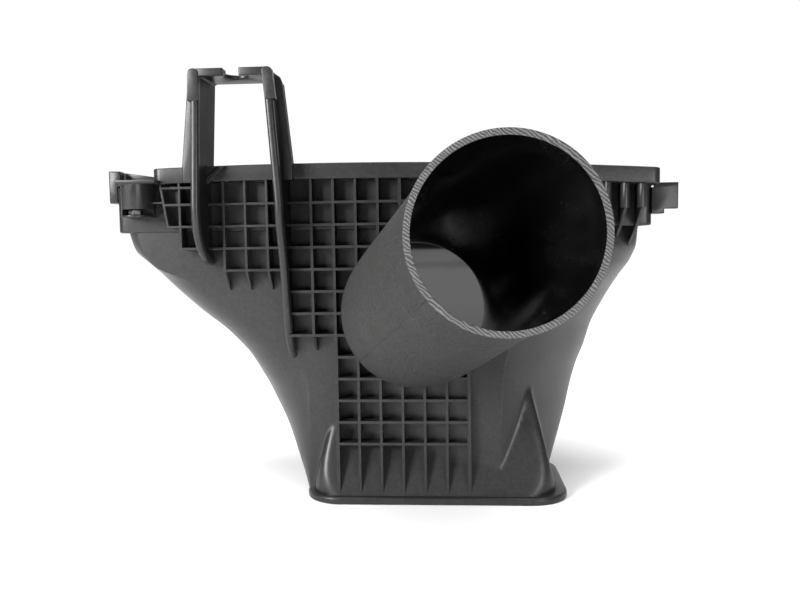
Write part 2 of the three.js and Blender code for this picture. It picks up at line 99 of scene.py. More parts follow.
# The inlet pipe, from its root in the hopper to its mouth. Its seam's place and widths are angles round it.
PIPE_R = 50
PIPE_WALL = 3.5
PIPE_FROM = np.array([11.2, 20, 131.5])
PIPE_TO = np.array([61.5, -145, 181.5])
PIPE_STRAIGHT = 0.1
PIPE_LIP = 0.5
PIPE_BITE = 1.2
SEAM_ANGLE = 219
SEAM_RISE = 0.3
SEAM_CREST = 0.2
SEAM_FOOT = 0.55
RETAINER = {"width": 5, "from": 0.1, "to": 3.5}

# The bracket: its left and right leg, how much each leans above the rim, and the bridge between them. A fin
# is the leg's front edge (y, z) below the knee; a reach is the flange's width at the rim and near the top.
FRAME_X = [-131.2, -76]
LEG = {"front": -22, "back": 18, "top": 291.5, "knee": 197, "thick": 3.5, "bead": 5.6, "bead_depth": 3.4}
LEG_LEAN = [0.05, -0.1]
LEG_CLEAR = 0.6
LEG_FLANGE = {"thick": 2.7, "corner": 4, "shoulder": 0.9}
BACK_RIB = {"width": 3.4, "thick": 2.4}
CAP = {"low": 271, "depth": 5.7, "radius": 3.2}
LEFT_FIN = [[-19, 184], [-10, 172], [2, 165.5], [14, 164.5]]
RIGHT_FIN = [[-11, 165], [-3, 124], [7, 106], [15.5, 98]]
LEFT_REACH = [13.2, 10.4]
RIGHT_REACH = [6.4, 6.4]
ARCH = 2.8
BRIDGE = {"thick": 2.6, "lip": 4.9, "slot_x": -104.6, "slot": 10.2, "ring_r": 8.2, "ring_y": -7}
LIP_DEPTH = 3.4

# How finely the hopper and the pipe are cut.
LEVELS = 190
CORNER_STEPS = 56
REAR_STEPS = 12
FACE_STEPS = 96
SIDE_STEPS = 14
BACK_STEPS = 56
ROUND_SIDES = 96
PIPE_STEPS = 64
PIPE_SIDES = 144

# Stage, light and camera: angles in degrees, lamp powers in watts.
FLOOR_RADIUS = 1400
FRONT_LIGHT = 0.1
BACK_LIGHT = 1.03
TOP_POWER = 85
KEY_POWER = 68
FILL_POWER = 16
CAMERA = {"place": [33.4, -509, 178], "yaw": 3.69, "pitch": 4.29, "roll": -0.85, "lens": 34.2}

# The design frame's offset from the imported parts' frame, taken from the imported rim.
rim_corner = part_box("rim_frame")[0] * 1000
SHIFT = np.array([rim_corner.x - RIM["x0"], rim_corner.y - RIM["y0"], 0.0])


def to_row(points):
    """Design-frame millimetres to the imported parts' metres."""
    return (np.asarray(points, float) + SHIFT) / 1000


def rim_top(x):
    return RIM_CROWN_Z - RIM_CROWN * (x - RIM_CROWN_X) ** 2


def rim_low(x):
    return rim_top(x) - RIM_HEIGHT


def column(k):
    return RIB_X0 + k * PITCH


def row(j):
    return RIB_Z0 - j * PITCH


# ---------------------------------------------------------------- materials


def grey(value):
    return (value, value, value)


class Nodes:
    """A material's node tree with short calls for adding and joining nodes."""

    def __init__(self, name):
        self.material = bpy.data.materials.new(name)
        self.material.use_nodes = True
        self.tree = self.material.node_tree
        self.shader = self.tree.nodes["Principled BSDF"]
        self.place = self.add("ShaderNodeTexCoord").outputs["Object"]

    def add(self, kind, **settings):
        node = self.tree.nodes.new(kind)
        for key, value in settings.items():
            setattr(node, key, value)
        return node

    def join(self, source, target):
        self.tree.links.new(source, target)

    def noise(self, scale, detail=2.0, roughness=0.5, place=None):
        node = self.add("ShaderNodeTexNoise")
        node.inputs["Scale"].default_value = scale
        node.inputs["Detail"].default_value = detail
        node.inputs["Roughness"].default_value = roughness
        self.join(place or self.place, node.inputs["Vector"])
        return node.outputs["Fac"]

    def stretched(self, scale, turn=(0, 0, 0)):
        node = self.add("ShaderNodeMapping")
        node.inputs["Scale"].default_value = scale
        node.inputs["Rotation"].default_value = [math.radians(a) for a in turn]
        self.join(self.place, node.inputs["Vector"])
        return node.outputs["Vector"]

    def ramp(self, source, low, high, start=0.3, end=0.7):
        node = self.add("ShaderNodeMapRange")
        node.inputs["From Min"].default_value = start
        node.inputs["From Max"].default_value = end
        node.inputs["To Min"].default_value = low
        node.inputs["To Max"].default_value = high
        self.join(source, node.inputs["Value"])
        return node.outputs["Result"]

    def mix(self, share, first, second):
        node = self.add("ShaderNodeMix", data_type="RGBA")
        self.join(share, node.inputs["Factor"])
        for name, colour in (("A", first), ("B", second)):
            sockets = [s for s in node.inputs if s.name == name and s.type == "RGBA"]
            sockets[0].default_value = (*colour, 1)
        return [s for s in node.outputs if s.type == "RGBA"][0]

    def bump(self, height, strength, distance, under=None):
        node = self.add("ShaderNodeBump")
        node.inputs["Strength"].default_value = strength
        node.inputs["Distance"].default_value = distance
        self.join(height, node.inputs["Height"])
        if under is not None:
            self.join(under, node.inputs["Normal"])
        self.join(node.outputs["Normal"], self.shader.inputs["Normal"])
        return node.outputs["Normal"]


def body_plastic(name, dark, light, rough, shine):
    """Satin moulded plastic: fine mottling in colour and gloss over a faint moulded grain."""
    n = Nodes(name)
    mottle = n.noise(420, 4.0, 0.62)
    cloud = n.noise(26, 3.0, 0.55)
    n.join(n.mix(n.ramp(mottle, 0, 1, 0.36, 0.66), dark, light), n.shader.inputs["Base Color"])
    n.join(n.ramp(cloud, rough - 0.04, rough + 0.06), n.shader.inputs["Roughness"])
    n.shader.inputs["Specular IOR Level"].default_value = shine
    grain = n.bump(n.noise(1500, 2.0), 0.16, 0.00012)
    n.bump(n.noise(70, 2.0), 0.1, 0.0006, grain)
    return n.material


def pipe_outside():
    """Spark-eroded grain, matte, with gloss varying in broad patches; the faint drag lines along the pipe are
    not drawn.
    """
    n = Nodes("pipe_outside")
    grain = n.noise(900, 3.0, 0.6)
    pale = n.ramp(grain, 0, 1, 0.4, 0.72)
    n.join(n.mix(pale, (0.008, 0.008, 0.0078), (0.034, 0.034, 0.0328)), n.shader.inputs["Base Color"])
    n.join(n.ramp(n.noise(40, 2.0), 0.55, 0.68), n.shader.inputs["Roughness"])
    n.shader.inputs["Specular IOR Level"].default_value = 0.3
    coarse = n.bump(grain, 1.0, 0.0022)
    n.bump(n.noise(420, 2.0), 0.8, 0.0016, coarse)
    return n.material


def pipe_inside():
    """Polished core side: nearly black and glossy, with broad soft streaks."""
    n = Nodes("pipe_inside")
    streak = n.noise(9, 3.0, 0.6, n.stretched((6, 0.9, 6), (14, 0, -14)))
    n.join(n.mix(n.ramp(streak, 0, 1, 0.45, 0.8), grey(0.002), grey(0.004)), n.shader.inputs["Base Color"])
    n.join(n.ramp(streak, 0.14, 0.3), n.shader.inputs["Roughness"])
    n.shader.inputs["Specular IOR Level"].default_value = 0.35
    n.bump(n.noise(180, 2.0), 0.05, 0.0003)
    return n.material


def pipe_cut():
    """Sawn end: slanting chatter marks across the ring."""
    n = Nodes("pipe_cut")
    chatter = n.add("ShaderNodeTexWave", wave_type="BANDS", bands_direction="X")
    chatter.inputs["Scale"].default_value = 210
    chatter.inputs["Distortion"].default_value = 7.0
    chatter.inputs["Detail"].default_value = 3.0
    n.join(n.stretched((1, 0.2, 1), (0, 52, 0)), chatter.inputs["Vector"])
    marks = chatter.outputs["Fac"]
    n.join(n.mix(n.ramp(marks, 0, 1, 0.35, 0.85), grey(0.016), grey(0.075)), n.shader.inputs["Base Color"])
    n.join(n.ramp(marks, 0.42, 0.58, 0.2, 0.8), n.shader.inputs["Roughness"])
    n.bump(marks, 0.5, 0.0005)
    return n.material


def seal_rubber():
    """Matte black with a little dust."""
    n = Nodes("seal_rubber")
    dust = n.noise(900, 3.0)
    n.join(n.mix(n.ramp(dust, 0, 1, 0.45, 0.7), grey(0.008), grey(0.02)), n.shader.inputs["Base Color"])
    n.join(n.ramp(dust, 0.7, 0.85), n.shader.inputs["Roughness"])
    n.bump(dust, 0.2, 0.0002)
    return n.material


def nut_steel():
    """Dull steel, brushed upwards, darker than bare steel: partly its own dull finish, partly painted shade
    for the shade inside the boss's slot.
    """
    n = Nodes("nut_steel")
    brushed = n.noise(300, 3.0, 0.6, n.stretched((1, 1, 12)))
    n.join(n.mix(n.ramp(brushed, 0, 1), grey(0.05), (0.1, 0.1, 0.098)), n.shader.inputs["Base Color"])
    n.shader.inputs["Metallic"].default_value = 1.0
    n.join(n.ramp(brushed, 0.4, 0.55), n.shader.inputs["Roughness"])
    return n.material


BODY = body_plastic("body_plastic", (0.0115, 0.0116, 0.0119), (0.0185, 0.0187, 0.0191), 0.33, 0.24)
# A darker copy of the body plastic with little shine, for the legs' webs: painted shade for the shade that
# falls on their inner sides, with less shine to take away their reflection of the bright backdrop.
BODY_PAINTED_SHADE = body_plastic("body_painted_shade", (0.006, 0.0061, 0.0063), (0.009, 0.0091, 0.0094), 0.5, 0.08)
BODY_INNER = body_plastic("body_inner", (0.003, 0.0031, 0.0035), (0.006, 0.0062, 0.0068), 0.2, 0.24)
PIPE_OUTSIDE = pipe_outside()
PIPE_INSIDE = pipe_inside()
PIPE_CUT = pipe_cut()
RUBBER = seal_rubber()
STEEL_PAINTED_SHADE = nut_steel()

# ---------------------------------------------------------------- solids


def raw_object(name, points, faces, marks=None):
    """An object from design-frame points and faces, turned outwards; marks are material numbers."""
    mesh = bpy.data.meshes.new(name)
    mesh.from_pydata(to_row(points).tolist(), [], [list(map(int, f)) for f in faces])
    if marks is not None:
        mesh.polygons.foreach_set("material_index", np.asarray(marks, np.int32))
    shape = bmesh.new()
    shape.from_mesh(mesh)
    bmesh.ops.remove_doubles(shape, verts=shape.verts, dist=1e-6)
    bmesh.ops.recalc_face_normals(shape, faces=shape.faces)
    shape.to_mesh(mesh)
    shape.free()
    made = bpy.data.objects.new(name, mesh)
    bpy.context.scene.collection.objects.link(made)
    return made


def skin(rings, wrap=True):
    """Points and quads over equal-length closed rings; wrap joins the last ring to the first."""
    count = len(rings[0])
    points = np.concatenate(rings)
    faces = []
    for k in range(len(rings) if wrap else len(rings) - 1):
        a = k * count + np.arange(count)
        b = k * count + (np.arange(count) + 1) % count
        up = ((k + 1) % len(rings) - k) * count
        faces.append(np.stack([a, b, b + up, a + up], axis=1))
    return points, np.concatenate(faces)


def prism(outline, low, high, axis):
    """A closed prism along axis 0, 1 or 2; the outline holds the other two coordinates in order."""
    flat = np.asarray(outline, float)
    count = len(flat)
    ends = [np.insert(flat, axis, place, axis=1) for place in (low, high)]
    sides = [[i, (i + 1) % count, (i + 1) % count + count, i + count] for i in range(count)]
    faces = sides + [list(range(count)), list(range(2 * count - 1, count - 1, -1))]
    return raw_object("solid", np.concatenate(ends), faces)


def box(x0, x1, y0, y1, z0, z1):
    return prism([[x0, y0], [x1, y0], [x1, y1], [x0, y1]], z0, z1, 2)


def pipe_disc(radius, near, far):
    """A round solid along Y, in line with the pipe's root."""
    turn = 2 * np.pi * np.arange(ROUND_SIDES) / ROUND_SIDES
    outline = np.stack([PIPE_FROM[0] + radius * np.cos(turn), PIPE_FROM[2] + radius * np.sin(turn)], axis=1)
    return prism(outline, near, far, 1)


def combine(base, others, operation="UNION"):
    """Joins the others to base, or cuts them from it, and removes them."""
    for other in others:
        step = base.modifiers.new("step", "BOOLEAN")
        step.object = other
        step.operation = operation
        step.solver = "EXACT"
    bpy.context.view_layer.update()
    result = base.evaluated_get(bpy.context.evaluated_depsgraph_get())
    mesh = bpy.data.meshes.new_from_object(result)
    base.modifiers.clear()
    base.data = mesh
    for other in others:
        bpy.data.objects.remove(other)
    return base


def gather(base, others):
    """Adds the others' closed shells to base, and removes them."""
    shape = bmesh.new()
    for solid in [base] + others:
        shape.from_mesh(solid.data)
    shape.to_mesh(base.data)
    shape.free()
    for other in others:
        bpy.data.objects.remove(other)
    return base


def warp(piece, move):
    """Moves every vertex by a function of its design-frame place."""
    points = np.array([v.co for v in piece.data.vertices], float) * 1000 - SHIFT
    piece.data.vertices.foreach_set("co", to_row(move(points)).astype(np.float32).ravel())
    piece.data.update()
    return piece


def finish_piece(piece, name, node, materials, bevel=0.0, sharp=32):
    """Names a piece, smooths it, rounds its edges and puts it in the CAD node's place."""
    piece.name = name
    piece.data.name = name
    kept = [p.material_index for p in piece.data.polygons]
    piece.data.materials.clear()
    for material in materials:
        piece.data.materials.append(material)
    piece.data.polygons.foreach_set("material_index", np.minimum(kept, len(materials) - 1))
    for polygon in piece.data.polygons:
        polygon.use_smooth = True
    if bevel:
        soften = piece.modifiers.new("edges", "BEVEL")
        soften.width = bevel / 1000
        soften.segments = 2
        soften.limit_method = "ANGLE"
        soften.angle_limit = math.radians(sharp)
        soften.harden_normals = True
        soften.use_clamp_overlap = True
    else:
        piece.data.set_sharp_from_angle(angle=math.radians(sharp))
    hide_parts(node)
    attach(piece, "root")
    return piece


def fillet(corners, radius, steps=4):
    """A closed outline with each corner rounded; a radius may be given for each corner."""
    corners = np.asarray(corners, float)
    radii = np.broadcast_to(radius, len(corners))
    most = 0.48
    outline = []
    for i, corner in enumerate(corners):
        before = corners[i - 1] - corner
        after = corners[(i + 1) % len(corners)] - corner
        reach = min(radii[i], most * np.linalg.norm(before), most * np.linalg.norm(after))
        start = corner + before / np.linalg.norm(before) * reach
        end = corner + after / np.linalg.norm(after) * reach
        for t in np.linspace(0, 1, steps + 1):
            outline.append((1 - t) ** 2 * start + 2 * t * (1 - t) * corner + t ** 2 * end)
    return np.array(outline)


def rounded_rect(plan, inset=0.0, arc=8, spacing=4.0):
    """Counter-clockwise rounded rectangle, with its straight sides cut to about the spacing."""
    x0, x1 = plan["x0"] + inset, plan["x1"] - inset
    y0, y1 = plan["y0"] + inset, plan["y1"] - inset
    r = max(plan["r"] - inset, 1.0)
    along = max(2, int((plan["x1"] - plan["x0"]) / spacing))
    across = max(2, int((plan["y1"] - plan["y0"]) / spacing))
    corners = [(x1 - r, y0 + r, -90), (x1 - r, y1 - r, 0), (x0 + r, y1 - r, 90), (x0 + r, y0 + r, 180)]
    outline = []
    for number, (cx, cy, start) in enumerate(corners):
        turn = np.radians(start + 90 * np.arange(arc + 1) / arc)
        bend = np.stack([cx + r * np.cos(turn), cy + r * np.sin(turn)], axis=1)
        nx, ny, begin = corners[(number + 1) % 4]
        turn_next = math.radians(begin)
        to = np.array([nx + r * math.cos(turn_next), ny + r * math.sin(turn_next)])
        steps = along if number % 2 else across
        share = np.arange(1, steps)[:, None] / steps
        outline += [bend, bend[-1] * (1 - share) + to * share]
    return np.concatenate(outline)


def sweep(outline, profile, low, high, height):
    """A closed profile (inset, rise) swept round an outline; high rises are measured from the top."""
    rings = []
    for inset, rise in profile:
        flat = outline(inset)
        x = flat[:, 0]
        z = low(x) + rise if rise < height / 2 else high(x) - (height - rise)
        rings.append(np.column_stack([flat, z]))
    return skin(rings)


def level(z):
    """A height that is the same at every x."""
    return lambda x: np.full_like(x, z)


# ---------------------------------------------------------------- hopper sections

# Level sections of the hopper, from the foot up. Each has its height, where the flat front face ends, how far
# the sides reach, the corners' depth and roundness (each of these left and right), the front face's place at
# its left end, the rear wall, the front face's yaw and the rear corners' radius.
STATION_NAMES = (
    "z", "face_l", "face_r", "side_l", "side_r", "deep_l", "deep_r", "power_l", "power_r",
    "front", "back", "yaw", "rear",
)
STATIONS = np.array([
    [5.0, -65.5, 66, -71.5, 106, 26, 45, 1.6, 1.3, 15.6, 92, 0.079, 27],
    [25, -65.5, 67, -80.5, 113, 34, 53, 1.5, 1.2, 15.6, 97, 0.079, 27],
    [50, -65.5, 68, -91.5, 120.5, 40, 57, 1.4, 1.17, 15.6, 104, 0.079, 27],
    [70, -65.5, 69, -101, 126.5, 40, 65, 1.4, 1.15, 15.5, 112, 0.079, 27],
    [84, -66.5, 70, -107.5, 131.5, 36, 70, 1.45, 1.15, 15.4, 119, 0.079, 27],
    [98, -73, 72, -114, 137.5, 30, 72, 1.5, 1.15, 15.0, 127, 0.07, 27],
    [113, -88, 77, -125, 142, 24, 72, 1.5, 1.15, 14.2, 138, 0.055, 27],
    [136, -117, 91, -151, 152, 21, 66, 1.5, 1.2, 12.8, 158, 0.03, 27],
    [152, -141, 103, -166.5, 160, 17, 58, 1.5, 1.3, 11.8, 172, 0.01, 27],
    [164, -171, 106, -176.5, 166.5, 14, 50, 1.5, 1.4, 11.2, 183, 0, 26],
    [175, -179, 105, -189.5, 169, 14, 42, 1.5, 1.5, 10.9, 190, 0, 18],
    [HOPPER_TOP + 1, -183, 104, -194.5, 169.8, 14, 40, 1.5, 1.5, 10.7, 193.5, 0, 9],
])


def monotone(x, y, at):
    """Monotone cubic through the points (Fritsch-Carlson)."""
    h = np.diff(x)
    slope = np.diff(y) / h
    m = np.zeros_like(y)
    for i in range(1, len(x) - 1):
        if slope[i - 1] * slope[i] > 0:
            w1 = 2 * h[i] + h[i - 1]
            w2 = h[i] + 2 * h[i - 1]
            m[i] = (w1 + w2) / (w1 / slope[i - 1] + w2 / slope[i])
    m[0], m[-1] = slope[0], slope[-1]
    i = np.clip(np.searchsorted(x, at) - 1, 0, len(h) - 1)
    t = (at - x[i]) / h[i]
    return (
        y[i] * (1 + 2 * t) * (1 - t) ** 2 + h[i] * m[i] * t * (1 - t) ** 2
        + y[i + 1] * t ** 2 * (3 - 2 * t) + h[i] * m[i + 1] * t ** 2 * (t - 1)
    )


def station(z):
    """The level section at a height, by name."""
    values = [float(monotone(STATIONS[:, 0], STATIONS[:, c], z)) for c in range(1, len(STATION_NAMES))]
    return dict(zip(STATION_NAMES[1:], values))


def set_back(x):
    """How far along the upper wall's set-back an x lies, from 0 to 1."""
    return np.clip((x - SET_BACK["from"]) / (SET_BACK["to"] - SET_BACK["from"]), 0, 1)


def wall_y(x, z):
    """The front face's place behind a point of the rib plane."""
    if z > HOPPER_TOP:
        return UPPER["y0"] + SET_BACK["depth"] * set_back(x)
    section = station(max(z, STATIONS[0, 0]))
    return section["front"] - section["yaw"] * (x - section["face_l"])


def hopper_outline(z):
    """One level section, counter-clockwise from the left side to the front, the right side and the back."""
    s = station(z)
    rear = s["rear"]

    def corner(hand):
        angle = np.linspace(0, np.pi / 2, CORNER_STEPS + 1)
        u = np.sin(angle) ** (2 / s["power" + hand])
        v = 1 - np.cos(angle) ** (2 / s["power" + hand])
        x = s["face" + hand] + (s["side" + hand] - s["face" + hand]) * u
        front = s["front"] - s["yaw"] * (x - s["face_l"])
        return np.stack([x, front * (1 - v) + (s["front"] + s["deep" + hand]) * v], axis=1)

    def straight(a, b, steps):
        share = np.arange(1, steps)[:, None] / steps
        return a * (1 - share) + b * share

    def arc(cx, start):
        turn = np.radians(start + 90 * np.arange(REAR_STEPS + 1) / REAR_STEPS)
        return np.stack([cx + rear * np.cos(turn), s["back"] - rear + rear * np.sin(turn)], axis=1)

    left = corner("_l")[::-1]
    right = corner("_r")
    rear_right = arc(s["side_r"] - rear, 0)
    rear_left = arc(s["side_l"] + rear, 90)
    return np.concatenate([
        left,
        straight(left[-1], right[0], FACE_STEPS),
        right,
        straight(right[-1], rear_right[0], SIDE_STEPS),
        rear_right,
        straight(rear_right[-1], rear_left[0], BACK_STEPS),
        rear_left,
        straight(rear_left[-1], left[0], SIDE_STEPS),
    ])


def skirt_plan(z):
    """The foot's skirt at a height: a rounded rectangle that tapers upwards."""
    rise = z - FLANGE_HEIGHT
    return {
        "x0": FOOT["x0"] + SKIRT_TAPER * rise,
        "x1": FOOT["x1"] - SKIRT_STEP - SKIRT_TAPER_RIGHT * rise,
        "y0": FOOT["y0"] + SKIRT_TAPER_FRONT * rise,
        "y1": FOOT["y1"] - SKIRT_TAPER_BACK * rise,
        "r": SKIRT_R_TOP + (FOOT["r"] - SKIRT_R_TOP) * math.exp(-rise / SKIRT_R_FADE),
    }


def rect_distance(points, plan):
    """Signed distance from points to a rounded rectangle."""
    middle = np.array([plan["x0"] + plan["x1"], plan["y0"] + plan["y1"]]) / 2
    half = np.array([plan["x1"] - plan["x0"], plan["y1"] - plan["y0"]]) / 2 - plan["r"]
    d = np.abs(points - middle) - half
    outside = np.linalg.norm(np.maximum(d, 0), axis=1)
    return outside + np.minimum(d.max(axis=1), 0) - plan["r"]


def with_skirt(outline, z):
    """The hopper's section grown, along rays from a centre, to take in the foot's skirt with a fillet."""
    if z >= SKIRT_TOP:
        return outline
    arms = outline - SKIRT_CENTRE
    reach = np.linalg.norm(arms, axis=1)
    aim = arms / reach[:, None]
    past_skirt, halvings = 200.0, 30
    low, high = np.zeros(len(aim)), np.full(len(aim), past_skirt)
    plan = skirt_plan(z)
    for _ in range(halvings):
        middle = (low + high) / 2
        inside = rect_distance(SKIRT_CENTRE + aim * middle[:, None], plan) < 0
        low, high = np.where(inside, middle, low), np.where(inside, high, middle)
    near = np.maximum(SKIRT_BLEND - np.abs(reach - low), 0) / SKIRT_BLEND
    grown = np.maximum(reach, low) + near ** 2 * SKIRT_BLEND / 4
    return SKIRT_CENTRE + aim * grown[:, None]


def unit(arrows):
    return arrows / np.maximum(np.linalg.norm(arrows, axis=1), 1e-6)[:, None]


def offset_inwards(outline, distance):
    """A counter-clockwise outline moved inwards along the mean normal at each point."""
    ahead = np.roll(outline, -1, axis=0) - outline
    behind = outline - np.roll(outline, 1, axis=0)
    run = unit(unit(ahead) + unit(behind))
    return outline + distance * np.stack([-run[:, 1], run[:, 0]], axis=1)


def hopper_solid():
    """The hopper with its skirt and wall; faces of the inner skin are marked 1."""
    outer, inner = [], []
    for z in np.linspace(FLANGE_HEIGHT - OVERLAP, HOPPER_TOP + OVERLAP, LEVELS):
        outline = with_skirt(hopper_outline(max(z, STATIONS[0, 0])), z)
        outer.append(np.insert(outline, 2, z, axis=1))
        inner.append(np.insert(offset_inwards(outline, WALL), 2, z, axis=1))
    points, faces = skin(outer + inner[::-1])
    across = len(outer[0])
    marks = np.zeros(len(faces), int)
    marks[LEVELS * across:(2 * LEVELS - 1) * across] = 1
    return raw_object("hopper", points, faces, marks)


def make_shells():
    """The hopper's front and rear shells, cut from one form so that they meet without a step."""
    front, back, aside, under, over = -60, 260, 300, -20, 260
    hole_end = SPLIT_Y - 8
    whole = hopper_solid()
    combine(whole, [pipe_disc(PIPE_R - PIPE_WALL / 2, front, hole_end)], "DIFFERENCE")
    for name, near, far in (("front_shell", front, SPLIT_Y), ("rear_shell", SPLIT_Y, back)):
        part = bpy.data.objects.new(name, whole.data.copy())
        bpy.context.scene.collection.objects.link(part)
        combine(part, [box(-aside, aside, near, far, under, over)], "INTERSECT")
        finish_piece(part, name + "_skin", name, [BODY, BODY_INNER], sharp=38)
    bpy.data.objects.remove(whole)


# ---------------------------------------------------------------- upper wall, rim and foot


def upper_outline(inset):
    """The upper wall in plan, with the front set back at its right end."""
    flat = rounded_rect(UPPER, inset)
    share = set_back(flat[:, 0])
    share = share ** 2 * (3 - 2 * share)
    flat[:, 1] += np.where(flat[:, 1] < UPPER["y1"] / 2, SET_BACK["depth"] * share, 0)
    return flat


def make_upper_wall():
    """The wall from the hopper into the rim; its height is nominal, since sweep follows the rim's crown."""
    height = 30
    corners = [[0, 0], [0, height], [WALL, height], [WALL, 0]]
    profile = fillet(corners, [1.3, 0.05, 0.05, 0.8], 4)
    into_hopper, into_rim = 0.6, 0.1
    low = level(HOPPER_TOP - into_hopper)
    wall = raw_object("wall", *sweep(upper_outline, profile, low, lambda x: rim_low(x) + into_rim, height))
    finish_piece(wall, "upper_wall_skin", "upper_wall", [BODY], sharp=40)


def rim_outline(inset):
    return rounded_rect(RIM, inset)


def make_rim():
    groove_in = SEAL["inset"] - SEAL["gap"]
    groove_out = SEAL["inset"] + SEAL["width"] + SEAL["gap"]
    groove_low = RIM_HEIGHT - SEAL["depth"] - SEAL["gap"]
    corners = [
        [0, 0], [0, RIM_HEIGHT], [groove_in, RIM_HEIGHT], [groove_in, groove_low],
        [groove_out, groove_low], [groove_out, RIM_HEIGHT], [RIM_WIDTH, RIM_HEIGHT], [RIM_WIDTH, 0],
    ]
    profile = fillet(corners, [0.9, 0.9, 0.3, 0.3, 0.3, 0.3, 0.6, 0.6], 3)
    rim = raw_object("rim", *sweep(rim_outline, profile, rim_low, rim_top, RIM_HEIGHT))
    finish_piece(rim, "rim_frame_skin", "rim_frame", [BODY], sharp=40)


def make_rim_seal():
    outer, inner = SEAL["inset"], SEAL["inset"] + SEAL["width"]
    height = SEAL["depth"] - SEAL["below"]
    profile = fillet([[outer, 0], [outer, height], [inner, height], [inner, 0]], [0.3, 1.2, 1.2, 0.3], 4)

    def low(x):
        return rim_top(x) - SEAL["depth"]

    def high(x):
        return rim_top(x) - SEAL["below"]

    seal = raw_object("seal", *sweep(rim_outline, profile, low, high, height))
    finish_piece(seal, "rim_seal_ring", "rim_seal", [RUBBER], sharp=40)


def foot_outline(inset):
    return rounded_rect(FOOT, inset, 16)


def make_foot():
    groove_in = FOOT_SEAL["inner"] + FOOT_SEAL["gap"]
    groove_out = FOOT_SEAL["outer"] - FOOT_SEAL["gap"]
    groove_top = FOOT_SEAL["height"] + FOOT_SEAL["gap"]
    corners = [
        [-FLANGE_LIP, 0], [-FLANGE_LIP, FLANGE_HEIGHT], [FLANGE_INNER, FLANGE_HEIGHT], [FLANGE_INNER, 0],
        [groove_in, 0], [groove_in, groove_top], [groove_out, groove_top], [groove_out, 0],
    ]
    profile = fillet(corners, [1.1, 2.0, 0.3, 0.3, 0.1, 0.1, 0.1, 0.1], 5)
    shape = sweep(foot_outline, profile, level(0.0), level(float(FLANGE_HEIGHT)), FLANGE_HEIGHT)
    flange = raw_object("foot", *shape)
    finish_piece(flange, "foot_flange_skin", "foot_flange", [BODY], sharp=40)


def make_foot_seal():
    outer, inner, height = FOOT_SEAL["outer"], FOOT_SEAL["inner"], FOOT_SEAL["height"]
    profile = fillet([[outer, 0], [outer, height], [inner, height], [inner, 0]], 0.4, 3)
    seal = raw_object("seal", *sweep(foot_outline, profile, level(0.0), level(height), height))
    finish_piece(seal, "foot_seal_ring", "foot_seal", [RUBBER], sharp=40)


# ---------------------------------------------------------------- inlet pipe


def pipe_centre(t):
    """The pipe's path from its root, at 0, to its mouth, at 1: straight first, then an S-bend."""
    v = np.clip((t - PIPE_STRAIGHT) / (1 - PIPE_STRAIGHT), 0, 1)
    swing = v * v * (3 - 2 * v)
    share = np.array([swing, t, swing])
    return PIPE_FROM + (PIPE_TO - PIPE_FROM) * share


def pipe_ring(t, radius, turn, push=0.0):
    """A ring square to the pipe's path; the two end rings face straight along Y."""
    step = 1e-3
    along = pipe_centre(min(t + step, 1)) - pipe_centre(max(t - step, 0))
    if t in (0, 1):
        along = np.array([0.0, -1.0, 0.0])
    tilt = Vector((0, -1, 0)).rotation_difference(Vector(along).normalized()).to_matrix()
    arms = np.stack([radius * np.cos(turn), np.zeros_like(turn), radius * np.sin(turn)], axis=1)
    return arms @ np.array(tilt).T + pipe_centre(t) + np.array([0, -push, 0])


def make_pipe():
    lip, lip_bend = PIPE_LIP, 0.15 * PIPE_LIP
    even = 2 * np.pi * np.arange(PIPE_SIDES) / PIPE_SIDES
    seam = np.radians(SEAM_ANGLE)
    turn = np.sort(np.append(even, seam + np.radians([-SEAM_FOOT, -SEAM_CREST, 0, SEAM_CREST, SEAM_FOOT])))
    ridge = np.where(np.abs(turn - seam) < np.radians((SEAM_CREST + SEAM_FOOT) / 2), SEAM_RISE, 0)
    inside = PIPE_R - PIPE_WALL
    path = np.linspace(0, 1, PIPE_STEPS + 1)
    outer = [pipe_ring(t, PIPE_R + ridge, turn) for t in path[:-1]]
    mouth = [
        pipe_ring(1, PIPE_R, turn, -lip),
        pipe_ring(1, PIPE_R - lip_bend, turn, -lip_bend),
        pipe_ring(1, PIPE_R - lip, turn),
        pipe_ring(1, inside + lip, turn),
        pipe_ring(1, inside + lip_bend, turn, -lip_bend),
        pipe_ring(1, inside, turn, -lip),
    ]
    inner = [pipe_ring(t, inside, turn) for t in path[-2::-1]]
    points, faces = skin(outer + mouth + inner)
    segment = np.arange(len(faces)) // len(turn)
    cut_from, cut_to = len(outer), len(outer) + len(mouth) - 1
    marks = np.where(segment < cut_from, 0, np.where(segment < cut_to, 2, 1))
    pipe = raw_object("pipe", points, faces, marks)
    materials = [PIPE_OUTSIDE, PIPE_INSIDE, PIPE_CUT]
    finish_piece(pipe, "inlet_pipe_tube", "inlet_pipe", materials, sharp=50)


def make_retainer():
    root = PIPE_FROM[1]
    ring = pipe_disc(PIPE_R + RETAINER["width"], root + RETAINER["from"], root + RETAINER["to"])
    bore = pipe_disc(PIPE_R - PIPE_WALL, root - 5, root + 9)
    combine(ring, [bore], "DIFFERENCE")
    finish_piece(ring, "pipe_retainer_ring", "pipe_retainer", [BODY_INNER], 0.5)


# ---------------------------------------------------------------- waffle ribs


def lines(values):
    """Sorted grid lines, with those that all but coincide taken as one."""
    ordered = np.unique(np.round(values, 4))
    return ordered[np.insert(np.diff(ordered) > 1e-3, 0, True)]


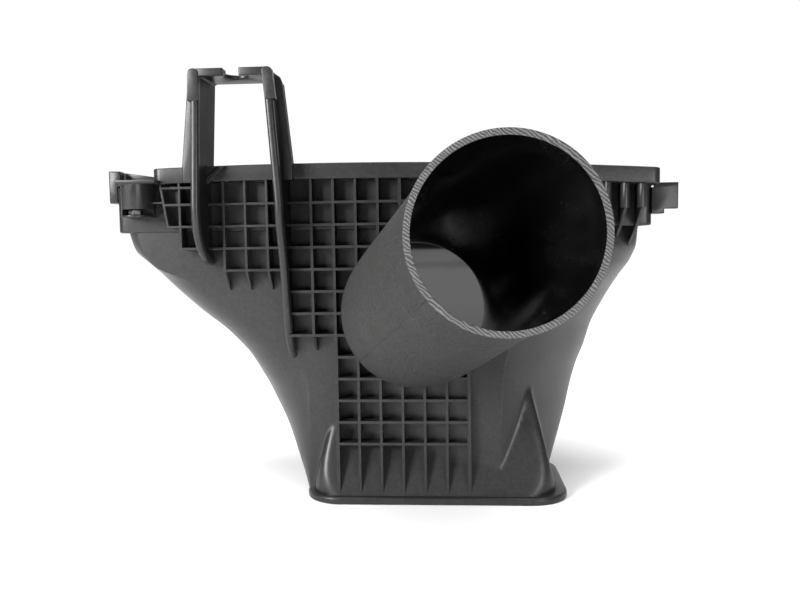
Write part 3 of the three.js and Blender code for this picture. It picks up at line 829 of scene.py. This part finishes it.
def rib_net(uprights, crossbars, tails=()):
    """One closed lattice back to the wall, from uprights (x, z0, z1, thick), crossbars (z, x0, x1, thick) and
    tails (x, z0, z1, thick, y), whose lower end starts at y."""
    bars = [(x - t / 2, x + t / 2, z0, z1) for x, z0, z1, t in uprights]
    bars += [(x0, x1, z - t / 2, z + t / 2) for z, x0, x1, t in crossbars]
    bars += [(x - t / 2, x + t / 2, z0, z1) for x, z0, z1, t, _ in tails]
    xs = lines([b[0] for b in bars] + [b[1] for b in bars])
    zs = lines([b[2] for b in bars] + [b[3] for b in bars])
    filled = np.zeros((len(xs) - 1, len(zs) - 1), bool)
    for x0, x1, z0, z1 in bars:
        in_x = (xs[:-1] > x0 - 1e-3) & (xs[1:] < x1 + 1e-3)
        in_z = (zs[:-1] > z0 - 1e-3) & (zs[1:] < z1 + 1e-3)
        filled |= in_x[:, None] & in_z[None, :]
    tail_ends = {}
    for x, z0, _, t, y in tails:
        for side in (-1, 1):
            tail_ends[round(x + side * t / 2, 3), round(z0, 3)] = y
    count = len(xs) * len(zs)
    points = np.zeros((2 * count, 3))
    for i, x in enumerate(xs):
        for j, z in enumerate(zs):
            at_front = tail_ends.get((round(x, 3), round(z, 3)), RIB_FRONT)
            points[i * len(zs) + j] = [x, at_front, z]
            points[count + i * len(zs) + j] = [x, max(wall_y(x, z), at_front) + RIB_SINK, z]

    def solid_at(i, j):
        return 0 <= i < len(xs) - 1 and 0 <= j < len(zs) - 1 and filled[i, j]

    faces = []
    for i, j in zip(*np.nonzero(filled)):
        a, b = i * len(zs) + j, (i + 1) * len(zs) + j
        corners = [a, b, b + 1, a + 1]
        faces.append(corners)
        faces.append([c + count for c in reversed(corners)])
        around = [(0, 1, i, j - 1), (1, 2, i + 1, j), (2, 3, i, j + 1), (3, 0, i - 1, j)]
        for p, q, ni, nj in around:
            if not solid_at(ni, nj):
                faces.append([corners[p], corners[p] + count, corners[q] + count, corners[q]])
    used = np.unique(np.concatenate([np.array(f) for f in faces]))
    renumber = np.full(2 * count, -1)
    renumber[used] = np.arange(len(used))
    return raw_object("ribs", points[used], [renumber[f] for f in faces])


def finish_ribs(net, name):
    finish_piece(net, name + "_ribs", name, [BODY], RIB_EDGE)


def pipe_clearance():
    """What the pipe takes out of the ribs; they run a little way into its wall."""
    return pipe_disc(PIPE_R - PIPE_BITE, -60, 60)


def tail(k, j, size):
    """The thin end of an upright below its last crossbar, falling back to the wall."""
    end = row(j) - RIB / 2
    return (column(k), row(j) - size["length"], end, RIB, size["front"])


def make_waffle_end():
    """The field left of the bracket; its outer upright is slanted."""
    slant_x = SLANT["x"]
    left_leg = FRAME_X[0]
    ends = [slant_x - RIB / 2, slant_x + RIB / 2]
    crossbars = [(row(j), ends[0], left_leg, RIB) for j in (0, 1)]
    crossbars += [(row(2), column(-6), left_leg, RIB), (UNDER_RIM, ends[0], left_leg, RIB)]
    crossbars += [(SLANT["bar_z"], SLANT["bar_x"], ends[1], SLANT["bar"])]
    uprights = [(slant_x, row(1) - RIB / 2, RIB_TOP, RIB), (column(-6), row(2) - RIB / 2, RIB_TOP, RIB)]
    net = rib_net(uprights, crossbars)

    def slant(p):
        near = np.abs(p[:, 0] - slant_x) < RIB
        p[:, 0] -= np.where(near, SLANT["lean"] * (p[:, 2] - row(0)), 0)
        return p

    finish_ribs(warp(net, slant), "waffle_end")


def make_waffle_left():
    """The field between the bracket's legs."""
    columns = (-4, -3, -2)
    left_leg, right_leg = FRAME_X
    uprights = [(column(k), row(3) - RIB / 2, RIB_TOP, RIB) for k in columns]
    tails = [tail(k, 3, TAIL_LEFT) for k in columns]
    crossbars = [(row(j), left_leg, right_leg, RIB) for j in (0, 1, 2)]
    crossbars += [(row(3), column(-4) - RIB / 2, right_leg, RIB)]
    finish_ribs(rib_net(uprights, crossbars, tails), "waffle_left")


def make_waffle_mid():
    """The field between the bracket and the pipe."""
    right_leg = FRAME_X[1]
    uprights = [(column(k), row(6) - RIB / 2, RIB_TOP, RIB) for k in range(0, 4)]
    uprights += [(column(k), row(1) - RIB / 2, RIB_TOP, RIB) for k in range(4, 8)]
    crossbars = [(row(j), right_leg, column(7) + RIB / 2, RIB) for j in (0, 1)]
    crossbars += [(row(j), right_leg, column(3) + RIB, RIB) for j in range(2, 7)]
    tails = [tail(0, 6, TAIL_MID)]
    finish_ribs(combine(rib_net(uprights, crossbars, tails), [pipe_clearance()], "DIFFERENCE"), "waffle_mid")


def make_waffle_low():
    """The field below the pipe, down to the flange, with thicker outer uprights."""
    first, last = 1, 7
    top = row(6) - RIB / 2
    low = FLANGE_HEIGHT - 0.5
    thick = {first: EDGE_RIB, last: EDGE_RIB}
    uprights = [(column(k), low, top, thick.get(k, RIB)) for k in range(first, last + 1)]
    crossbars = [(row(j), column(first), column(last), RIB) for j in range(7, 12)]
    finish_ribs(combine(rib_net(uprights, crossbars), [pipe_clearance()], "DIFFERENCE"), "waffle_low")


# ---------------------------------------------------------------- bracket


def lean_leg(per_millimetre):
    """A move that leans the leg sideways above the rim."""
    def move(p):
        p[:, 0] += per_millimetre * np.maximum(0, p[:, 2] - RIM_CROWN_Z)
        return p
    return move


def arch_top(x0, x1, low, high, radius):
    """An upright outline (x, z) with rounded top corners."""
    return fillet([[x0, low], [x1, low], [x1, high], [x0, high]], [0.6, 0.6, radius, radius], 7)


def rounded(solid, width, steps=3):
    """Bakes small rounded edges into a simple solid."""
    soften = solid.modifiers.new("edges", "BEVEL")
    soften.width = width / 1000
    soften.segments = steps
    soften.limit_method = "ANGLE"
    soften.angle_limit = math.radians(40)
    return combine(solid, [])


def bead_solid(x, path, width, depth):
    """A rail with a rounded front, swept along a path of (y, z) points from the top down."""
    ends_dropped, bend, square = 3, 9, 0.7
    smooth = fillet(path, [0.1] + [bend] * (len(path) - 2) + [0.1], 6)[ends_dropped:-ends_dropped]
    turn = np.linspace(0, np.pi, 13)
    rings = []
    for i, (y, z) in enumerate(smooth):
        run = smooth[min(i + 1, len(smooth) - 1)] - smooth[max(i - 1, 0)]
        run /= np.linalg.norm(run)
        front = np.array([run[1], -run[0]])
        across = [width / 2 * np.sign(math.cos(a)) * abs(math.cos(a)) ** square for a in turn]
        ahead = [depth * (math.sin(a) ** square - 1) for a in turn]
        ring = [[x + u, y + front[0] * v, z + front[1] * v] for u, v in zip(across, ahead)]
        rings.append(np.array(ring))
    points, sides = skin(rings, wrap=False)
    count = len(turn)
    last = (len(rings) - 1) * count
    caps = [list(range(count)), [last + k for k in range(count)][::-1]]
    return raw_object("bead", points, [list(f) for f in sides] + caps)


def leg_web(x, fin, under, front, top):
    """The leg's flat web (y, z): behind the front bead, stepped over the rim, down to the fin's end."""
    behind, lift = 0.8, 0.4
    outline = [[LEG["front"] + behind, LEG["top"] - 0.3], [LEG["front"] + behind, LEG["knee"]]]
    outline += [[y + behind, z + lift] for y, z in fin]
    outline += [[fin[-1][0], under], [front, under], [front, top], [LEG["back"], top]]
    outline += [[LEG["back"], LEG["top"] - 0.4]]
    radii = [2.5, 8] + [9] * (len(fin) - 1) + [1, 0.1, 0.1, 0.1, 0.5, 4]
    web = prism(fillet(outline, radii, 6), x - LEG["thick"] / 2, x + LEG["thick"] / 2, 0)
    # The web's faces take the leg's second material: painted shade.
    web.data.polygons.foreach_set("material_index", [1] * len(web.data.polygons))
    return web


def leg_cap(x, outward):
    """The thick rounded block at the top of the leg's front edge."""
    ends = sorted([x - outward * LEG["bead"] * 0.5, x + outward * LEG["bead"] * 0.72])
    outline = arch_top(*ends, CAP["low"], LEG["top"] - 0.05, CAP["radius"])
    near = LEG["front"] - 0.7
    return rounded(prism(outline, near, near + CAP["depth"], 1), 1.2, 4)


def leg_flange(x, outward, reach, under, front, top):
    """The flange turned outwards from the leg, ahead of the rim; reach is its width low down and high up."""
    base, tip = x + outward * reach[0], x + outward * reach[1]
    shoulder = x + outward * (reach[1] - LEG_FLANGE["corner"])
    level_top = LEG["top"] - LEG_FLANGE["shoulder"]
    outline = [
        [x, under], [base, under], [base, top], [tip, LEG["top"] - 7], [tip - outward * 1.2, LEG["top"] - 3],
        [shoulder, level_top], [x, level_top],
    ]
    return rounded(prism(outline, front - LEG_FLANGE["thick"], front, 1), 0.8)


def leg_back_rib(x, outward, top):
    """The low rib along the leg's rear edge."""
    edge = x + outward * BACK_RIB["width"]
    outline = [[x, top], [edge, top], [edge, LEG["top"] - 4], [x, LEG["top"] - 1.5]]
    return rounded(prism(outline, LEG["back"] - BACK_RIB["thick"], LEG["back"], 1), 0.5)


def make_leg(name, side, fin, reach):
    """A leg: a web with a rounded front bead, a thick cap, a flange turned outwards and a rear rib."""
    x = FRAME_X[side]
    outward = -1 if side == 0 else 1
    top = rim_top(x) + LEG_CLEAR
    front = RIM["y0"] - LEG_CLEAR
    under = rim_low(x) - LEG_CLEAR
    path = [[LEG["front"], LEG["top"] - 2], [LEG["front"], LEG["knee"]]] + fin
    leg = gather(leg_web(x, fin, under, front, top), [
        bead_solid(x, path, LEG["bead"], LEG["bead_depth"]),
        leg_cap(x, outward),
        leg_flange(x, outward, reach, under, front, top),
        leg_back_rib(x, outward, top),
    ])
    warp(leg, lean_leg(LEG_LEAN[side]))
    finish_piece(leg, name + "_moulding", name, [BODY, BODY_PAINTED_SHADE])


def slot_outline(x0, x1, front, back):
    """The bridge plate seen from above: an open keyhole with rounded lips at the front."""
    half = BRIDGE["slot"] / 2
    ring_x, ring_y, ring_r = BRIDGE["slot_x"], BRIDGE["ring_y"], BRIDGE["ring_r"]
    opening = math.asin(half / ring_r)
    turn = np.linspace(-np.pi / 2 - opening, -5 * np.pi / 2 + opening, 40)
    ring = [[ring_x + ring_r * math.cos(a), ring_y + ring_r * math.sin(a)] for a in turn]
    arm, steps = 8, 6
    lips = []
    for side in (-1, 1):
        edge = ring_x + side * half
        bends = fillet([[edge, front + arm], [edge, front], [edge + side * arm, front]], 4, steps)
        lips.append(bends[steps + 1:2 * (steps + 1)].tolist())
    return [[x0, front]] + lips[0][::-1] + ring + lips[1] + [[x1, front], [x1, back], [x0, back]]


def bridge_lip(start, end, radii):
    """Half of the bridge's thick front edge."""
    front = LEG["front"]
    outline = fillet([[start, front - 0.05], [end, front - 0.05], [end, front + LIP_DEPTH],
                      [start, front + LIP_DEPTH]], radii, 3)
    return rounded(prism(outline, LEG["top"] - BRIDGE["lip"], LEG["top"] - 0.05, 2), 1.1, 4)


def bridge_arch(at, inward, low):
    """The rounded corner under the bridge, against a leg."""
    turn = np.linspace(0, np.pi / 2, 7)
    curve = [[at + inward * ARCH * (1 - math.sin(a)), low - ARCH * (1 - math.cos(a))] for a in turn]
    outline = [[at, low + 0.7], [at + inward * ARCH, low + 0.7]] + curve
    return prism(outline, LEG["front"] + LIP_DEPTH + 0.1, LEG["back"] - 1, 1)


def make_bridge():
    rise = LEG["top"] - RIM_CROWN_Z
    into_leg = 0.6
    inner_face = LEG["thick"] / 2 - into_leg
    x0 = FRAME_X[0] + LEG_LEAN[0] * rise + inner_face
    x1 = FRAME_X[1] + LEG_LEAN[1] * rise - inner_face
    slot_left = BRIDGE["slot_x"] - BRIDGE["slot"] / 2
    slot_right = BRIDGE["slot_x"] + BRIDGE["slot"] / 2
    low = LEG["top"] - BRIDGE["thick"]
    plan = slot_outline(x0, x1, LEG["front"], LEG["back"] - 0.5)
    bridge = rounded(prism(plan, low, LEG["top"] - 0.1, 2), 0.5)
    combine(bridge, [
        bridge_lip(x0, slot_left, [0.5, 1.6, 1.6, 0.5]),
        bridge_lip(slot_right, x1, [1.6, 0.5, 0.5, 1.6]),
        bridge_arch(x0, 1, low),
        bridge_arch(x1, -1, low),
    ])
    finish_piece(bridge, "bracket_bridge_moulding", "bracket_bridge", [BODY])


def make_brace():
    """The slanting strut from the left leg up to the rim."""
    x = FRAME_X[0] + LEG["thick"] / 2
    foot = rim_low(x) - 1.5
    outline = [[x - 1, rim_low(x) + 1], [x + 10.5, rim_top(x) - 0.6], [x + 14, rim_top(x) - 0.6],
               [x + 2.3, foot], [x - 1, foot]]
    brace = prism(outline, RIM["y0"] - 3.3, RIM["y0"] + 0.5, 1)
    finish_piece(brace, "bracket_brace_moulding", "bracket_brace", [BODY], 0.5)


# ---------------------------------------------------------------- end fittings


def soften_node(name, material, width, steps=3):
    """Keeps a CAD node's own shape and gives it a material and small rounded edges."""
    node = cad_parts[name]
    node.data.materials.clear()
    node.data.materials.append(material)
    weld = node.modifiers.new("weld", "WELD")
    weld.merge_threshold = 1e-6
    edges = node.modifiers.new("edges", "BEVEL")
    edges.width = width / 1000
    edges.segments = steps
    edges.limit_method = "ANGLE"
    edges.angle_limit = math.radians(35)
    edges.harden_normals = True
    for polygon in node.data.polygons:
        polygon.use_smooth = True


def dress_fittings():
    soften_node("screw_boss", BODY, 0.5)
    soften_node("boss_nut", STEEL_PAINTED_SHADE, 0.25)
    soften_node("left_shelf", BODY, 0.5)
    soften_node("clip_lug_left", BODY, 1.2, 4)
    soften_node("lug_right", BODY, 0.6)
    for number in (1, 2, 3):
        soften_node(f"end_rib_{number}", BODY, 0.3)


# ---------------------------------------------------------------- stage, light and camera


def make_stage():
    """A round pale floor just under the foot."""
    n = Nodes("pale_floor")
    n.join(n.mix(n.ramp(n.noise(3, 2.0), 0, 1), grey(0.9), grey(0.93)), n.shader.inputs["Base Color"])
    n.shader.inputs["Roughness"].default_value = 0.6
    turn = 2 * np.pi * np.arange(ROUND_SIDES) / ROUND_SIDES
    drop = np.full(ROUND_SIDES, -0.2)
    ring = np.stack([FLOOR_RADIUS * np.cos(turn), FLOOR_RADIUS * np.sin(turn), drop], axis=1)
    floor = raw_object("studio_floor", ring, [list(range(ROUND_SIDES))])
    floor.data.materials.append(n.material)
    if floor.data.polygons[0].normal.z < 0:
        floor.data.flip_normals()


def make_world():
    """White all round the object and below, and dim above and behind the camera."""
    world = bpy.data.worlds.new("studio")
    bpy.context.scene.world = world
    world.use_nodes = True
    tree = world.node_tree
    place = tree.nodes.new("ShaderNodeTexCoord")
    axes = tree.nodes.new("ShaderNodeSeparateXYZ")
    tree.links.new(place.outputs["Generated"], axes.inputs["Vector"])
    fades = [("Y", 0.45, 0.78, FRONT_LIGHT, BACK_LIGHT), ("Z", 0.75, 0.4, 0.35, 1.0)]
    parts = []
    for axis, start, end, low, high in fades:
        share = tree.nodes.new("ShaderNodeMapRange")
        share.interpolation_type = "SMOOTHSTEP"
        share.inputs["From Min"].default_value = start
        share.inputs["From Max"].default_value = end
        share.inputs["To Min"].default_value = low
        share.inputs["To Max"].default_value = high
        tree.links.new(axes.outputs[axis], share.inputs["Value"])
        parts.append(share.outputs["Result"])
    product = tree.nodes.new("ShaderNodeMath")
    product.operation = "MULTIPLY"
    tree.links.new(parts[0], product.inputs[0])
    tree.links.new(parts[1], product.inputs[1])
    background = tree.nodes["Background"]
    background.inputs["Color"].default_value = (1, 1, 1, 1)
    tree.links.new(product.outputs["Value"], background.inputs["Strength"])


def area_light(name, place, aim, width, height, power):
    data = bpy.data.lights.new(name, "AREA")
    data.shape = "RECTANGLE"
    data.size = width
    data.size_y = height
    data.energy = power
    lamp = bpy.data.objects.new(name, data)
    bpy.context.scene.collection.objects.link(lamp)
    lamp.location = place
    lamp.rotation_euler = (Vector(aim) - Vector(place)).to_track_quat("-Z", "Y").to_euler()


def make_lights():
    middle = (0, 0, 0.15)
    area_light("top_box", (0.0, 0.1, 1.9), (0, 0.1, 0), 2.4, 2.0, TOP_POWER)
    area_light("key_box", (-1.15, -1.25, 0.65), middle, 0.7, 0.7, KEY_POWER)
    area_light("fill_box", (0.9, -1.4, 0.15), middle, 0.5, 0.5, FILL_POWER)


def make_camera():
    """Just below the rim's height, a little right of the middle, turned slightly left and down."""
    yaw, pitch, roll = [math.radians(CAMERA[name]) for name in ("yaw", "pitch", "roll")]
    forward = Vector((-math.sin(yaw) * math.cos(pitch), math.cos(yaw) * math.cos(pitch), -math.sin(pitch)))
    flat = Vector((math.cos(yaw), math.sin(yaw), 0))
    rise = flat.cross(forward)
    right = math.cos(roll) * flat + math.sin(roll) * rise
    up = -math.sin(roll) * flat + math.cos(roll) * rise
    data = bpy.data.cameras.new("camera")
    data.sensor_width = 36
    data.lens = CAMERA["lens"]
    camera = bpy.data.objects.new("camera", data)
    bpy.context.scene.collection.objects.link(camera)
    turn = Matrix((right, up, -forward)).transposed().to_4x4()
    camera.matrix_world = Matrix.Translation(Vector(to_row(CAMERA["place"]))) @ turn
    bpy.context.scene.camera = camera


# ---------------------------------------------------------------- assembly

make_camera()
make_shells()
make_upper_wall()
make_rim()
make_rim_seal()
make_foot()
make_foot_seal()
make_pipe()
make_retainer()
make_waffle_end()
make_waffle_left()
make_waffle_mid()
make_waffle_low()
make_leg("bracket_leg_left", 0, LEFT_FIN, LEFT_REACH)
make_leg("bracket_leg_right", 1, RIGHT_FIN, RIGHT_REACH)
make_bridge()
make_brace()
dress_fittings()
make_stage()
make_world()
make_lights()
bpy.context.scene.view_settings.view_transform = "Standard"
